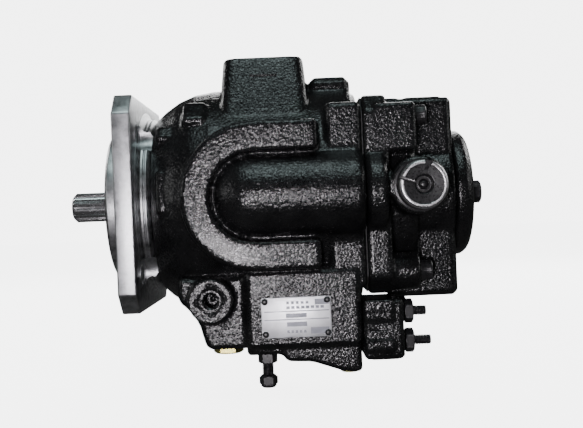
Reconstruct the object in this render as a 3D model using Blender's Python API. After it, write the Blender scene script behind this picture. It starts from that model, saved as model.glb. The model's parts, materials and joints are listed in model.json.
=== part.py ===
"""Variable-displacement axial piston pump, swash-plate type, with a square four-bolt mounting flange.

+X runs along the drive shaft from the flange to the rear cover, +Z is up, and the side with the control
cylinder, nameplate and relief cap faces -Y. The origin is the centre of the flange's front face.
Sizes are in millimetres and each helper turns them into metres. At rest the swash plate stands at full
stroke, as its bias spring leaves it when there is no pressure.
"""

from math import acos, asin, cos, pi, radians, sin, sqrt

import bmesh
import bpy
from mathutils import Matrix, Vector

MM = 0.001
GAP = 0.3  # clearance between pieces that touch
SMOOTH_UP_TO = radians(35)

# Mounting flange, SAE J744 127-4
FLANGE_SIDE = 175
FLANGE_CORNER = 16
FLANGE_THICK = 15
PILOT_R = 63.5
PILOT_LENGTH = 12.7
BOLT_SPACING = 114.5
BOLT_HOLE_R = 7.2

# Casing
HOUSING_FRONT = 26.3
HOUSING_REAR = 195
VALVE_FACE = 190  # where the compensator bolts on
CAVITY_R = 63.5
COVER_FRONT = 196.4
COVER_BACK = 274
COVER_BOLTS = [(y, z) for y in (-68, 68) for z in (-62, 62)]
COVER_BOLT_SEAT = 238
TOP_PORT = (119.5, 0, 0)
DRAIN_BOSS = (73, -56, -77.5)
RELIEF = (237.5, 0, 5.2)

# Drive shaft
SHAFT_TIP = -52
SPLINE_R = 12.7
SPLINE_TEETH = 15
SEAL_R = 17.4
BLOCK_SHAFT_R = 15
REAR_JOURNAL_R = 12.4

# Swash plate and rotating group. The tilt axis crosses the shaft at PIVOT_X, in the plane of the balls.
PIVOT_X = 84
FULL_TILT = radians(15)
PISTONS = 9
BORE_CIRCLE_R = 41  # the cylinder block's bores
SLIPPER_CIRCLE_R = 41.7  # the slippers on the swash plate: it splits the error of a circle that tilts
PISTON_R = 10.2
BORE_R = 11.4
BALL_R = 7.5
FOOT_DEPTH = 11  # from a ball's centre to its slipper's running face
BLOCK_R = 58
BLOCK_FRONT = 110
BLOCK_BACK = 178.7
ROCKER_R = 46
ROCKER_Z = (28, 43)

# Stroke control
ARM_R = 80
ROLLER_R = 5
CONTROL_PISTON_R = 13
BIAS_PISTON_R = 9

# Compensator valve
SPOOL_Y = -68
SPOOL_Z = {"pressure": -94, "flow": -117.5}
ADJUSTER_END = {"pressure": 242, "flow": 245}


def material(name, colour, metallic, roughness):
    made = bpy.data.materials.new(name)
    made.use_nodes = True
    shader = made.node_tree.nodes["Principled BSDF"]
    shader.inputs["Base Color"].default_value = (*colour, 1)
    shader.inputs["Metallic"].default_value = metallic
    shader.inputs["Roughness"].default_value = roughness
    return made


def node(name, mesh, location=(0, 0, 0), parent=None):
    """The object that carries a mesh, placed in its parent's frame."""
    made = bpy.data.objects.new(name, mesh)
    made.location = Vector(location) * MM
    made.parent = parent
    bpy.context.scene.collection.objects.link(made)
    return made


def paint(made, look):
    made.data.materials.clear()
    made.data.materials.append(look)
    return made


def helper(name, mesh, location=(0, 0, 0)):
    """A shape that only adds to or cuts from another."""
    made = node(name, mesh, location)
    made.hide_render = True
    made.display_type = "WIRE"
    return made


def boolean(target, other, operation):
    """The exact solver leaves open edges where many cutters share an axis. Every shape here is closed."""
    change = target.modifiers.new(other.name, "BOOLEAN")
    change.operation = operation
    change.solver = "MANIFOLD"
    change.object = other


def add(target, *others):
    for other in others:
        boolean(target, other, "UNION")


def cut(target, *others):
    for other in others:
        boolean(target, other, "DIFFERENCE")


def finish_mesh(shape, name):
    bmesh.ops.remove_doubles(shape, verts=shape.verts, dist=1e-6)
    bmesh.ops.recalc_face_normals(shape, faces=shape.faces)
    mesh = bpy.data.meshes.new(name)
    shape.to_mesh(mesh)
    shape.free()
    mesh.shade_smooth()
    mesh.set_sharp_from_angle(angle=SMOOTH_UP_TO)
    return mesh


# Turns a shape made along +X so that it runs along another axis.
ALONG = {
    "X": Matrix.Identity(4),
    "Y": Matrix.Rotation(pi / 2, 4, "Z"),
    "Z": Matrix.Rotation(-pi / 2, 4, "Y"),
    "-Y": Matrix.Rotation(-pi / 2, 4, "Z"),
}


def turned(name, profile, sides=32, along="X"):
    """A solid of revolution from (distance along, radius) points. A profile off the axis makes a ring."""
    shape = bmesh.new()
    ring = len(profile)
    verts = []
    for side in range(sides):
        angle = 2 * pi * side / sides
        for x, r in profile:
            verts.append(shape.verts.new((x * MM, r * MM * cos(angle), r * MM * sin(angle))))
    closed_ring = profile[0][1] > 0 and profile[-1][1] > 0
    spans = ring if closed_ring else ring - 1
    for side in range(sides):
        a, b = side * ring, (side + 1) % sides * ring
        for i in range(spans):
            j = (i + 1) % ring
            corners = [verts[a + i], verts[a + j]]
            if profile[j][1] > 0:
                corners.append(verts[b + j])
            if profile[i][1] > 0:
                corners.append(verts[b + i])
            if len(corners) > 2:
                shape.faces.new(corners)
    bmesh.ops.transform(shape, matrix=ALONG[along], verts=shape.verts)
    return finish_mesh(shape, name)


def rod(name, start, end, r, sides=24, along="X", edge=0.0):
    profile = [(start, 0), (start, r), (end, r), (end, 0)]
    if edge:
        profile[1:3] = [(start, r - edge), (start + edge, r), (end - edge, r), (end, r - edge)]
    return turned(name, profile, sides, along)


def prism(name, outline, start, end, along="X", edge=0.0):
    """An outline of (u, v) points drawn out from start to end, its long edges and ends rounded off by edge.

    u and v are Y and Z along X, X and Z along Y, and X and Y along Z.
    """
    place = {
        "X": lambda u, v, w: (w, u, v),
        "Y": lambda u, v, w: (u, w, v),
        "Z": lambda u, v, w: (u, v, w),
    }[along]
    shape = bmesh.new()
    rings = [[shape.verts.new(Vector(place(u, v, w)) * MM) for u, v in outline] for w in (start, end)]
    count = len(outline)
    shape.faces.new(rings[0])
    shape.faces.new(rings[1])
    for i in range(count):
        j = (i + 1) % count
        shape.faces.new((rings[0][i], rings[0][j], rings[1][j], rings[1][i]))
    bmesh.ops.recalc_face_normals(shape, faces=shape.faces)
    if edge:
        bmesh.ops.bevel(
            shape, geom=shape.edges[:], offset=edge * MM, segments=1, affect="EDGES", clamp_overlap=True
        )
    return finish_mesh(shape, name)


def box(name, low, high, edge=0.0):
    outline = [(low[0], low[1]), (high[0], low[1]), (high[0], high[1]), (low[0], high[1])]
    return prism(name, outline, low[2], high[2], "Z", edge)


def rounded_rectangle(half_u, half_v, corner):
    """Four quarter arcs, anticlockwise from the +u side."""
    centres = [(1, 1, 0), (-1, 1, 90), (-1, -1, 180), (1, -1, 270)]
    points = []
    for su, sv, start in centres:
        points += arc((su * (half_u - corner), sv * (half_v - corner)), corner, start, start + 90, 3)
    return points


def tapered_boss(name, levels, corner):
    """A block that narrows upwards through (half length, half width, height) levels about its own centre."""
    shape = bmesh.new()
    rings = []
    for half_x, half_y, z in levels:
        outline = rounded_rectangle(half_x, half_y, corner)
        rings.append([shape.verts.new(Vector((x, y, z)) * MM) for x, y in outline])
    shape.faces.new(rings[0])
    shape.faces.new(rings[-1])
    count = len(rings[0])
    for low, high in zip(rings, rings[1:]):
        for i in range(count):
            j = (i + 1) % count
            shape.faces.new((low[i], low[j], high[j], high[i]))
    return finish_mesh(shape, name)


def chamfered_square(half_u, half_v, corner):
    u, v = half_u, half_v
    return [
        (u, v - corner), (u - corner, v), (corner - u, v), (-u, v - corner),
        (-u, corner - v), (corner - u, -v), (u - corner, -v), (u, corner - v),
    ]


def arc(centre, r, start, end, steps):
    """Points on a circle's arc, from one angle to another in degrees."""
    angles = [radians(start + (end - start) * i / steps) for i in range(steps + 1)]
    return [(centre[0] + r * cos(a), centre[1] + r * sin(a)) for a in angles]


def kidney(middle, half_angle, r, half_width):
    """The outline of a kidney slot around the shaft, with middle and half_angle in degrees."""
    low, high = middle - half_angle, middle + half_angle
    return arc((0, 0), r + half_width, low, high, 5) + arc((0, 0), r - half_width, high, low, 5)


def helix(name, start, end, mean_r, wire_r, turns, sides, steps_per_turn):
    """A coil spring along X as one closed tube."""
    shape = bmesh.new()
    rings = []
    steps = turns * steps_per_turn
    for i in range(steps + 1):
        angle = 2 * pi * i / steps_per_turn
        x = start + wire_r + (end - start - 2 * wire_r) * i / steps
        outward = Vector((0, cos(angle), sin(angle)))
        points = [
            Vector((x, 0, 0)) + outward * mean_r
            + wire_r * (outward * cos(2 * pi * k / sides) + Vector((1, 0, 0)) * sin(2 * pi * k / sides))
            for k in range(sides)
        ]
        rings.append([shape.verts.new(p * MM) for p in points])
    for a, b in zip(rings, rings[1:]):
        for k in range(sides):
            m = (k + 1) % sides
            shape.faces.new((a[k], a[m], b[m], b[k]))
    shape.faces.new(rings[0])
    shape.faces.new(rings[-1])
    return finish_mesh(shape, name)


def hexagon(across_flats):
    r = across_flats / sqrt(3)
    return arc((0, 0), r, 30, 330, 5)


def pivot(name, location, turn_z=0.0):
    """An empty on a joint's axis."""
    made = bpy.data.objects.new(name, None)
    made.location = Vector(location) * MM
    made.rotation_euler.z = turn_z
    bpy.context.scene.collection.objects.link(made)
    return made


def mounting_flange(look):
    """Square plate, pilot, neck into the housing, and the two saddles that the swash plate rocks in."""
    half = FLANGE_SIDE / 2
    flange = node(
        "mounting_flange",
        prism("mounting_flange", chamfered_square(half, half, FLANGE_CORNER), 0, FLANGE_THICK, "X", 1.5),
    )
    turning = [
        (-PILOT_LENGTH, 0), (-PILOT_LENGTH, PILOT_R - 2), (2 - PILOT_LENGTH, PILOT_R), (5, PILOT_R),
        (5, 74), (22, 74), (26, 70), (26, CAVITY_R - GAP), (36, CAVITY_R - GAP), (36, 0),
    ]
    add(flange, helper("flange_turning", turned("flange_turning", turning, 40)))
    low, high = ROCKER_Z
    for side in (-1, 1):
        z = sorted((side * (low - 1), side * (high + 1)))
        saddle = helper(f"saddle_{side}", box(f"saddle_{side}", (30, -30, z[0]), (45.5, 30, z[1])))
        add(flange, saddle)
    seat = helper("saddle_seat", rod("saddle_seat", -60, 60, ROCKER_R + 2.6, 56, "Z"), (PIVOT_X, 0, 0))
    bores = [(-20, 12, 26.3), (10, 20, 18.5), (15.7, 60, 34.3)]
    cut(flange, seat)
    for i, (start, end, r) in enumerate(bores):
        cut(flange, helper(f"flange_bore_{i}", rod(f"flange_bore_{i}", start, end, r, 24)))
    offset = BOLT_SPACING / 2
    for y in (-offset, offset):
        for z in (-offset, offset):
            hole = rod("flange_hole", -1, FLANGE_THICK + 12, BOLT_HOLE_R, 12)
            cut(flange, helper(f"flange_hole_{y:.0f}_{z:.0f}", hole, (0, y, z)))
    return paint(flange, look)


def u_rib():
    """The rib round the control cylinder: a half ring with two arms that run to the rear."""
    centre, outer_r, inner_r, arm_end = (110, 2), 57.5, 34.5, 160
    lower_arm = [(arm_end, centre[1] - outer_r), (arm_end, centre[1] - inner_r)]
    upper_arm = [(arm_end, centre[1] + inner_r), (arm_end, centre[1] + outer_r)]
    return arc(centre, outer_r, 90, 270, 10) + lower_arm + arc(centre, inner_r, 270, 90, 8) + upper_arm


def housing(look):
    profile = [
        (HOUSING_FRONT, 0), (HOUSING_FRONT, 73), (34, 80), (46, 88), (60, 93.5), (76, 96), (190, 96),
        (192, 89), (HOUSING_REAR, 89), (HOUSING_REAR, 0),
    ]
    body = node("pump_housing", turned("pump_housing", profile, 40))
    dome = [(108 - 34 * cos(a), 34 * sin(a)) for a in [pi * i / 12 for i in range(7)]]
    dome[0] = (74, 0)
    bulge = dome + [(HOUSING_REAR - 3, 34), (HOUSING_REAR, 31), (HOUSING_REAR, 0)]
    lumps = {
        "rib": prism("rib", u_rib(), -103, -60, "Y", 2),
        "control_bulge": turned("control_bulge", bulge, 28),
        "bias_bulge": rod("bias_bulge", 92, HOUSING_REAR, 25, 20, edge=3),
        "rear_lug": box("rear_lug", (156, -38, 60), (191, 38, 100.5), 5),
        "valve_block": box("valve_block", (98.5, -90, -118), (VALVE_FACE, 40, -55), 4),
        "valve_skirt": prism(
            "valve_skirt",
            [
                (98, -105), (VALVE_FACE, -105), (VALVE_FACE, -141), (176, -141), (150, -132),
                (130, -131), (126, -125), (98, -125),
            ],
            -70, 10, "Y", 2,
        ),
        "drain_lump": prism(
            "drain_lump",
            [
                (46, -60), (107, -60), (107, -117), (68, -117), (65, -108), (62, -96), (54, -85),
                (46, -78),
            ],
            -84, 20, "Y", 3,
        ),
    }
    places = {"control_bulge": (0, -ARM_R, 2), "bias_bulge": (0, ARM_R, 0)}
    for name, mesh in lumps.items():
        add(body, helper(name, mesh, places.get(name, (0, 0, 0))))
    boss = tapered_boss("top_boss", [(38.5, 80, 40), (33, 50, 114), (31.5, 48, 117)], 8)
    add(body, helper("top_boss", boss, TOP_PORT))
    add(body, helper("drain_boss", rod("drain_boss", 0, 44, 17.5, 24, "-Y", 1.5), DRAIN_BOSS))
    raised = {
        "front_pad": (31, 41, 83, 18, -6),
        "near_shoulder_pad": (31, 46, 87.5, 8, -41),
        "far_shoulder_pad": (31, 46, 87.5, 8, -139),
        "near_upper_pad": (53, 73, 99, 13, -48),
        "far_upper_pad": (53, 73, 99, 13, -132),
    }
    for name, (start, end, r, half_width, turn) in raised.items():
        pad = helper(name, box(name, (start, -r, -half_width), (end, -60, half_width), 2.5))
        pad.rotation_euler.x = radians(turn)
        add(body, pad)
    for i, (side_y, side_z) in enumerate([(-1, -1), (-1, 1), (1, -1), (1, 1)]):
        y, z = sorted((side_y * 50, side_y * 88.5)), sorted((side_z * 27, side_z * 73))
        pad = box(f"housing_pad_{i}", (167, y[0], z[0]), (HOUSING_REAR, y[1], z[1]), 3)
        add(body, helper(f"housing_pad_{i}", pad))

    far_slot = [(46, 40), (104, 40), (104, 86.5), (58, 86.5), (46, 72)]
    holes = [
        helper("case_bore", rod("case_bore", 20, 200, CAVITY_R + 0.4, 40)),
        helper("near_arm_slot", box("near_arm_slot", (58, -87, -10), (120, -40, 10))),
        helper("far_arm_slot", prism("far_arm_slot", far_slot, -10, 10, "Z")),
        helper("control_bore", rod("control_bore", 86, 200, CONTROL_PISTON_R + 0.5, 20), (0, -ARM_R, 0)),
        helper("bias_bore", rod("bias_bore", 66, 200, BIAS_PISTON_R + 0.5, 16), (0, ARM_R, 0)),
        helper("drain_port", rod("drain_port", 20, 60, 7.3, 16, "-Y"), DRAIN_BOSS),
        helper("top_port", rod("top_port", 80, 130, 9, 16, "Z"), TOP_PORT),
        helper("plug_hole_front", rod("plug_hole_front", -125, -104, 6.4, 12, "Z"), (80.5, -30, 0)),
        helper("plug_hole_rear", rod("plug_hole_rear", -150, -120, 5.4, 12, "Z"), (182, -30, 0)),
        helper("fitting_hole", rod("fitting_hole", -130, -112, 5, 12, "Z"), (113, -30, 0)),
    ]
    cut(body, *holes)
    return paint(body, look)


def cover_bolt_holes():
    made = []
    for i, (y, z) in enumerate(COVER_BOLTS):
        made.append(helper(f"cover_bolt_hole_{i}", rod("cover_bolt_hole", 180, 240, 5.6, 12), (0, y, z)))
    return made


def compensator_screw_holes():
    made = []
    for i, z in enumerate((-89, -124)):
        made.append(helper(f"compensator_screw_hole_{i}", rod("screw_hole", 172, 235, 3.5, 10), (0, -50, z)))
    return made


def end_cover(look):
    """The port block: bolted plate, boss that carries the valve plate, port slab and rear bearing barrel."""
    cover = node(
        "end_cover", prism("end_cover", chamfered_square(88, 79, 14), COVER_FRONT, 216, "X", 2)
    )
    lumps = [
        helper("cover_boss", rod("cover_boss", 187, 200, CAVITY_R - GAP, 40)),
        helper("cover_neck", rod("cover_neck", 210, 240, 74, 32, edge=5)),
        helper("port_slab", box("port_slab", (214, -44, -85.5), (COVER_BACK, 44, 80), 4)),
        helper("bearing_barrel", rod("bearing_barrel", 210, COVER_BACK, 54, 36, edge=2)),
        helper("relief_boss", rod("relief_boss", 30, 98, 22.8, 24, "-Y", 1.5), RELIEF),
        helper("bulge_end", rod("bulge_end", COVER_FRONT, 213, 32, 24, edge=3), (0, -ARM_R + 4, 2)),
    ]
    for i, (y, z) in enumerate(COVER_BOLTS):
        if z < 0:
            pad, place = rod("bolt_pad", 205, COVER_BOLT_SEAT, 15, 14, edge=1.5), (0, y, z)
        else:
            low, high = (205, -17.5, -29), (COVER_BOLT_SEAT, 17.5, 9)
            pad, place = box("bolt_pad", low, high, 2), (0, y * 70.5 / 68, z)
        lumps.append(helper(f"bolt_pad_{i}", pad, place))
    add(cover, *lumps)
    port_x = 250
    passages = {"suction": kidney(90, 50, BORE_CIRCLE_R, 6), "pressure": kidney(-90, 50, BORE_CIRCLE_R, 5)}
    cut(
        cover,
        helper("bearing_pocket", rod("bearing_pocket", 180, 206.5, 21.5, 24)),
        helper("through_bore", rod("through_bore", 200, 300, 18, 20)),
        helper("suction_passage", prism("suction_passage", passages["suction"], 180, port_x)),
        helper("pressure_passage", prism("pressure_passage", passages["pressure"], 180, port_x)),
        helper("suction_port", rod("suction_port", 38, 86, 19, 20, "Z"), (port_x, 0, 0)),
        helper("pressure_port", rod("pressure_port", -92, -38, 12.5, 16, "Z"), (port_x, 0, 0)),
        helper("relief_bore", rod("relief_bore", 78, 110, 12.5, 20, "-Y"), RELIEF),
    )
    patterns = [("suction", 17.85, 34.95, (60, 86)), ("pressure", 13.1, 26.2, (-92, -66))]
    for name, half_x, half_y, (low, high) in patterns:
        for i, (u, v) in enumerate([(-1, -1), (-1, 1), (1, -1), (1, 1)]):
            place = (port_x + u * half_x, v * half_y, 0)
            cut(cover, helper(f"{name}_bolt_{i}", rod("port_bolt", low, high, 5.1, 8, "Z"), place))
    return paint(cover, look)


def cover_gasket(look):
    gasket = node("cover_gasket", prism("cover_gasket", chamfered_square(86, 77, 13), 195.3, 196.1))
    cut(gasket, helper("gasket_bore", rod("gasket_bore", 190, 200, CAVITY_R + 0.8, 36)))
    return paint(gasket, look)


def cap_screw(name, seat, tip, shank_r, head_r, head_length, location, look):
    """A socket-head screw along X, with its head to the rear and its socket open."""
    socket_r, chamfer = head_r * 0.52, 0.8
    top, socket_floor = seat + head_length, seat + head_length * 0.45
    profile = [
        (tip, 0), (tip, shank_r), (seat, shank_r), (seat, head_r), (top - chamfer, head_r),
        (top, head_r - chamfer), (top, socket_r), (socket_floor, socket_r), (socket_floor, 0),
    ]
    return paint(node(name, turned(name, profile, 12), location), look)


def drive_shaft(look, parent):
    profile = [
        (-16, 0), (-16, SPLINE_R), (-8, SPLINE_R + 1), (-6, SEAL_R), (58, SEAL_R), (60, BLOCK_SHAFT_R),
        (177, BLOCK_SHAFT_R), (178.5, REAR_JOURNAL_R), (203, REAR_JOURNAL_R), (204, REAR_JOURNAL_R - 1),
        (204, 0),
    ]
    shaft = node("drive_shaft", turned("drive_shaft", profile, 24), parent=parent)
    root_r = SPLINE_R - 1.6
    outline = []
    for tooth in range(SPLINE_TEETH):
        for share, r in ((-0.32, root_r), (-0.16, SPLINE_R), (0.16, SPLINE_R), (0.32, root_r)):
            angle = 2 * pi * (tooth + share) / SPLINE_TEETH
            outline.append((r * cos(angle), r * sin(angle)))
    add(shaft, helper("spline", prism("spline", outline, SHAFT_TIP, -14)))
    tip = [
        (SHAFT_TIP - 1, SPLINE_R - 3), (SHAFT_TIP + 3, SPLINE_R + 1), (SHAFT_TIP + 3, SPLINE_R + 6),
        (SHAFT_TIP - 1, SPLINE_R + 6),
    ]
    cut(shaft, helper("tip_chamfer", turned("tip_chamfer", tip, 20)))
    return paint(shaft, look)


def cylinder_block(look, parent):
    profile = [
        (BLOCK_FRONT, BLOCK_SHAFT_R + GAP), (BLOCK_BACK, BLOCK_SHAFT_R + GAP), (BLOCK_BACK, BLOCK_R - 2),
        (BLOCK_BACK - 2, BLOCK_R), (BLOCK_FRONT + 6, BLOCK_R), (BLOCK_FRONT, BLOCK_R - 4),
    ]
    block = node("cylinder_block", turned("cylinder_block", profile, 36), parent=parent)
    cut(block, helper("spring_pocket", rod("spring_pocket", 100, 127, 20.3, 24)))
    for i in range(PISTONS):
        angle = 2 * pi * i / PISTONS
        place = (0, -BORE_CIRCLE_R * cos(angle), BORE_CIRCLE_R * sin(angle))
        bore = turned("bore", [(100, 0), (100, BORE_R), (168, BORE_R), (168, 4.5), (190, 4.5), (190, 0)], 14)
        cut(block, helper(f"bore_{i}", bore, place))
    return paint(block, look)


def piston_mesh():
    """A hollow piston with its ball at the origin and its body to the rear."""
    neck_r, body_start, body_end, hollow_r = 4.6, 12, 62, 6.5
    last = acos(sqrt(BALL_R**2 - neck_r**2) / BALL_R)
    ball = [(-BALL_R * cos(a), BALL_R * sin(a)) for a in [(pi - last) * i / 5 for i in range(6)]]
    ball[0] = (-BALL_R, 0)
    body = [
        (8.5, neck_r), (body_start, PISTON_R - 0.8), (body_start + 1, PISTON_R), (body_end, PISTON_R),
        (body_end, hollow_r), (32, hollow_r), (29, 0),
    ]
    return turned("piston", ball + body, 12)


def slipper_mesh():
    """A slipper with its socket's centre at the origin and its foot to the front."""
    socket_r, cup_r, foot_r, mouth = BALL_R + GAP + 0.2, 10.3, 13.2, 3
    first = asin(mouth / socket_r)
    socket = [
        (socket_r * sin(a), socket_r * cos(a)) for a in [first - (first + pi / 2) * i / 4 for i in range(5)]
    ]
    socket[-1] = (-socket_r, 0)
    foot = [(-FOOT_DEPTH, 0), (-FOOT_DEPTH, foot_r), (-7, foot_r), (-7, cup_r), (mouth, cup_r)]
    return turned("slipper", foot + socket, 12)


def swash_plate(look, parent):
    """Disc with its running face towards the slippers, two rockers behind it and an arm on each side."""
    face = -FOOT_DEPTH - GAP
    back = face - 12
    bore_r = 26.5
    disc = [(back, bore_r), (back, BLOCK_R - 2), (back + 2, BLOCK_R), (face, BLOCK_R), (face, bore_r)]
    plate = node("swash_plate", turned("swash_plate", disc, 40), parent=parent)
    rest = acos(-(face - 4) / ROCKER_R)
    sector = [(-ROCKER_R * cos(a), ROCKER_R * sin(a)) for a in [rest * (i / 8 - 1) for i in range(17)]]
    low, high = ROCKER_Z
    arm_outline = [
        (-22, 50), (-11.4, 50), (-11.4, 59), (-3, 70), (-4, 80), (4, 80), (2, 84), (-4, 84), (-20, 66),
    ]
    for side in (-1, 1):
        z = sorted((side * low, side * high))
        rocker = helper(f"rocker_{side}", prism(f"rocker_{side}", sector, z[0], z[1], "Z"))
        rocker.parent = parent
        add(plate, rocker)
        mirrored = [(u, side * v) for u, v in arm_outline]
        arm = helper(f"arm_{side}", prism(f"arm_{side}", mirrored, -7, 7, "Z"))
        roller = helper(f"roller_{side}", rod("roller", -7.5, 7.5, ROLLER_R, 20, "Z"), (0, side * ARM_R, 0))
        arm.parent = roller.parent = parent
        add(plate, arm, roller)
    return paint(plate, look)


def retainer_plate(look, parent):
    profile = [(-6.7, 25), (-6.7, 56.5), (-3.7, 56.5), (-3.7, 25)]
    plate = node("retainer_plate", turned("retainer_plate", profile, 32), parent=parent)
    for i in range(PISTONS):
        angle = 2 * pi * i / PISTONS
        place = (0, -SLIPPER_CIRCLE_R * cos(angle), SLIPPER_CIRCLE_R * sin(angle))
        hole = helper(f"retainer_hole_{i}", rod("retainer_hole", -12, 5, 11.1, 12), place)
        hole.parent = parent
        cut(plate, hole)
    return paint(plate, look)


def cradle_bearing(name, z, look, parent):
    """A thin curved shell under one rocker, fixed in its saddle."""
    span = radians(34)
    inner, outer = ROCKER_R + 0.4, ROCKER_R + 2.2
    angles = [span * (i / 6 - 1) for i in range(13)]
    outline = [(-outer * cos(a), outer * sin(a)) for a in angles]
    outline += [(-inner * cos(a), inner * sin(a)) for a in reversed(angles)]
    mesh = prism(name, outline, z[0], z[1], "Z")
    return paint(node(name, mesh, parent=parent), look)


def rotating_group(steel, bronze, spring_look, cast):
    shaft_axis = pivot("shaft_axis", (0, 0, 0))
    drive_shaft(steel, shaft_axis)
    cylinder_block(steel, shaft_axis)
    guide_r = 24.5
    sphere = [(x, sqrt(guide_r**2 - x**2)) for x in (-12, -6, 0, 6, 12)]
    bore_r = BLOCK_SHAFT_R + GAP
    guide = [(x + PIVOT_X, r) for x, r in sphere] + [(104, 20), (104, bore_r), (72, bore_r)]
    ball = node("retainer_guide", turned("retainer_guide", guide, 20), parent=shaft_axis)
    paint(ball, steel)
    coil = helix("block_spring", 104.4, 126.6, 17.9, 1.7, turns=4, sides=5, steps_per_turn=10)
    paint(node("block_spring", coil, parent=shaft_axis), spring_look)

    tilt = pivot("tilt_axis", (PIVOT_X, 0, 0), FULL_TILT)
    swash_plate(cast, tilt)
    retainer_plate(steel, tilt)
    slipper, piston = slipper_mesh(), piston_mesh()
    slipper.materials.append(bronze)
    piston.materials.append(steel)
    for i in range(PISTONS):
        angle = 2 * pi * i / PISTONS
        y, z = -SLIPPER_CIRCLE_R * cos(angle), SLIPPER_CIRCLE_R * sin(angle)
        node(f"slipper_{i + 1}", slipper, (0, y, z), tilt)
        node(f"piston_{i + 1}", piston, (PIVOT_X - y * sin(FULL_TILT), y * cos(FULL_TILT), z))


def bearings(steel, bronze, rubber):
    seal = [(1, 17.7), (9, 17.7), (9, 26), (1, 26)]
    paint(node("shaft_seal", turned("shaft_seal", seal, 28)), rubber)
    front = [(16, 17.7), (34, 17.7), (34, 26), (30, 34), (16, 34)]
    paint(node("front_bearing", turned("front_bearing", front, 32)), steel)
    rear = [(188, 12.7), (206, 12.7), (206, 21), (188, 21)]
    paint(node("rear_bearing", turned("rear_bearing", rear, 28)), steel)
    seat = pivot("saddle_axis", (PIVOT_X, 0, 0))
    low, high = ROCKER_Z
    cradle_bearing("upper_cradle_bearing", (low, high), bronze, seat)
    cradle_bearing("lower_cradle_bearing", (-high, -low), bronze, seat)


def valve_plate(look):
    profile = [(179.1, 21.6), (186.6, 21.6), (186.6, BLOCK_R), (179.1, BLOCK_R)]
    plate = node("valve_plate", turned("valve_plate", profile, 32))
    for name, middle, half_width in (("suction", 90, 5.5), ("pressure", -90, 4.5)):
        slot = prism(f"{name}_kidney", kidney(middle, 52, BORE_CIRCLE_R, half_width), 170, 190)
        cut(plate, helper(f"{name}_kidney", slot))
    return paint(plate, look)


def stroke_control(steel, spring_look):
    """The control piston destrokes the swash plate; the bias piston and its spring bring it back."""
    reach = ARM_R * sin(FULL_TILT)
    nose = PIVOT_X + reach + ROLLER_R + 0.5
    control = [
        (nose, 0), (nose, 7), (nose + 2, 9), (nose + 10, 9), (nose + 12, CONTROL_PISTON_R),
        (178, CONTROL_PISTON_R), (178, 8), (140, 8), (136, 0),
    ]
    axis = pivot("control_axis", (0, -ARM_R, 0))
    paint(node("control_piston", turned("control_piston", control, 20), parent=axis), steel)

    nose = PIVOT_X - reach + ROLLER_R + 0.5
    bias = [
        (nose, 0), (nose, 7), (nose + 2, BIAS_PISTON_R), (112, BIAS_PISTON_R), (112, 5.4), (134, 5.2),
        (134, 0),
    ]
    axis = pivot("bias_axis", (0, ARM_R, 0))
    paint(node("bias_piston", turned("bias_piston", bias, 16), parent=axis), steel)
    spring = helix("bias_spring", 112.4, 195.6, 7.2, 1.4, turns=8, sides=5, steps_per_turn=8)
    paint(node("bias_spring", spring, parent=axis), spring_look)


def compensator(black, steel):
    """The valve body under the end cover, its two spools, and the adjusting screws with their lock nuts."""
    body = node(
        "compensator_body", box("compensator_body", (VALVE_FACE + 0.4, -90, -129), (222, -42, -82), 2.5)
    )
    for name, z in SPOOL_Z.items():
        boss = rod(f"{name}_boss", 215, 224, 10.5, 16, edge=1)
        add(body, helper(f"{name}_boss", boss, (0, SPOOL_Y, z)))
        cut(body, helper(f"{name}_bore", rod(f"{name}_bore", 200, 240, 4.5, 14), (0, SPOOL_Y, z)))
    paint(body, black)
    for name, z in SPOOL_Z.items():
        axis = pivot(f"{name}_spool_axis", (0, SPOOL_Y, z))
        lands = [
            (202, 0), (202, 4), (205, 4), (205.5, 2.4), (208.5, 2.4), (209, 4), (215, 4), (215, 0),
        ]
        paint(node(f"{name}_spool", turned(f"{name}_spool", lands, 12), parent=axis), steel)
        end = ADJUSTER_END[name]
        screw = [
            (221, 0), (221, 3.2), (221.8, 4), (end - 1, 4), (end, 3.2), (end, 1.7), (end - 3, 1.7),
            (end - 3, 0),
        ]
        paint(node(f"{name}_adjuster", turned(f"{name}_adjuster", screw, 14), parent=axis), black)
        nut_mesh = prism(f"{name}_lock_nut", hexagon(17), 224.3, 231.5, "X", 0.5)
        nut = node(f"{name}_lock_nut", nut_mesh, (0, SPOOL_Y, z))
        cut(nut, helper(f"{name}_nut_bore", rod(f"{name}_nut_bore", 220, 235, 4.5, 14), (0, SPOOL_Y, z)))
        paint(nut, black)
    return body


def hex_plug(name, seat, across_flats, head, stem_r, stem, location, look):
    """A plug along -Z: its head hangs below seat, and its stem goes up into the hole."""
    plug = node(name, prism(name, hexagon(across_flats), seat - head, seat, "Z", 0.6), location)
    collar_r = across_flats * 0.56
    profile = [
        (seat - 2.2, 0), (seat - 2.2, collar_r), (seat, collar_r), (seat, stem_r), (seat + stem, stem_r),
        (seat + stem, 0),
    ]
    add(plug, helper(f"{name}_collar", turned(f"{name}_collar", profile, 12, "Z"), location))
    return paint(plug, look)


def line_fitting(look):
    """A capped tube fitting that hangs below the valve block."""
    seat = -125.3
    place = (113, -30, 0)
    fitting = node("line_fitting", prism("line_fitting", hexagon(14), seat - 12, seat, "Z", 0.6), place)
    body = [
        (-158, 0), (-158, 5), (-156.5, 6.6), (-148, 6.6), (-146.5, 4), (-139, 3.6), (-137, 5.2),
        (seat, 5.2), (seat, 4.5), (seat + 11, 4.5), (seat + 11, 0),
    ]
    add(fitting, helper("fitting_body", turned("fitting_body", body, 12, "Z"), place))
    nut = prism("fitting_nut", hexagon(13.5), -155, -148.5, "Z", 0.6)
    add(fitting, helper("fitting_nut", nut, place))
    return paint(fitting, look)


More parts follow.
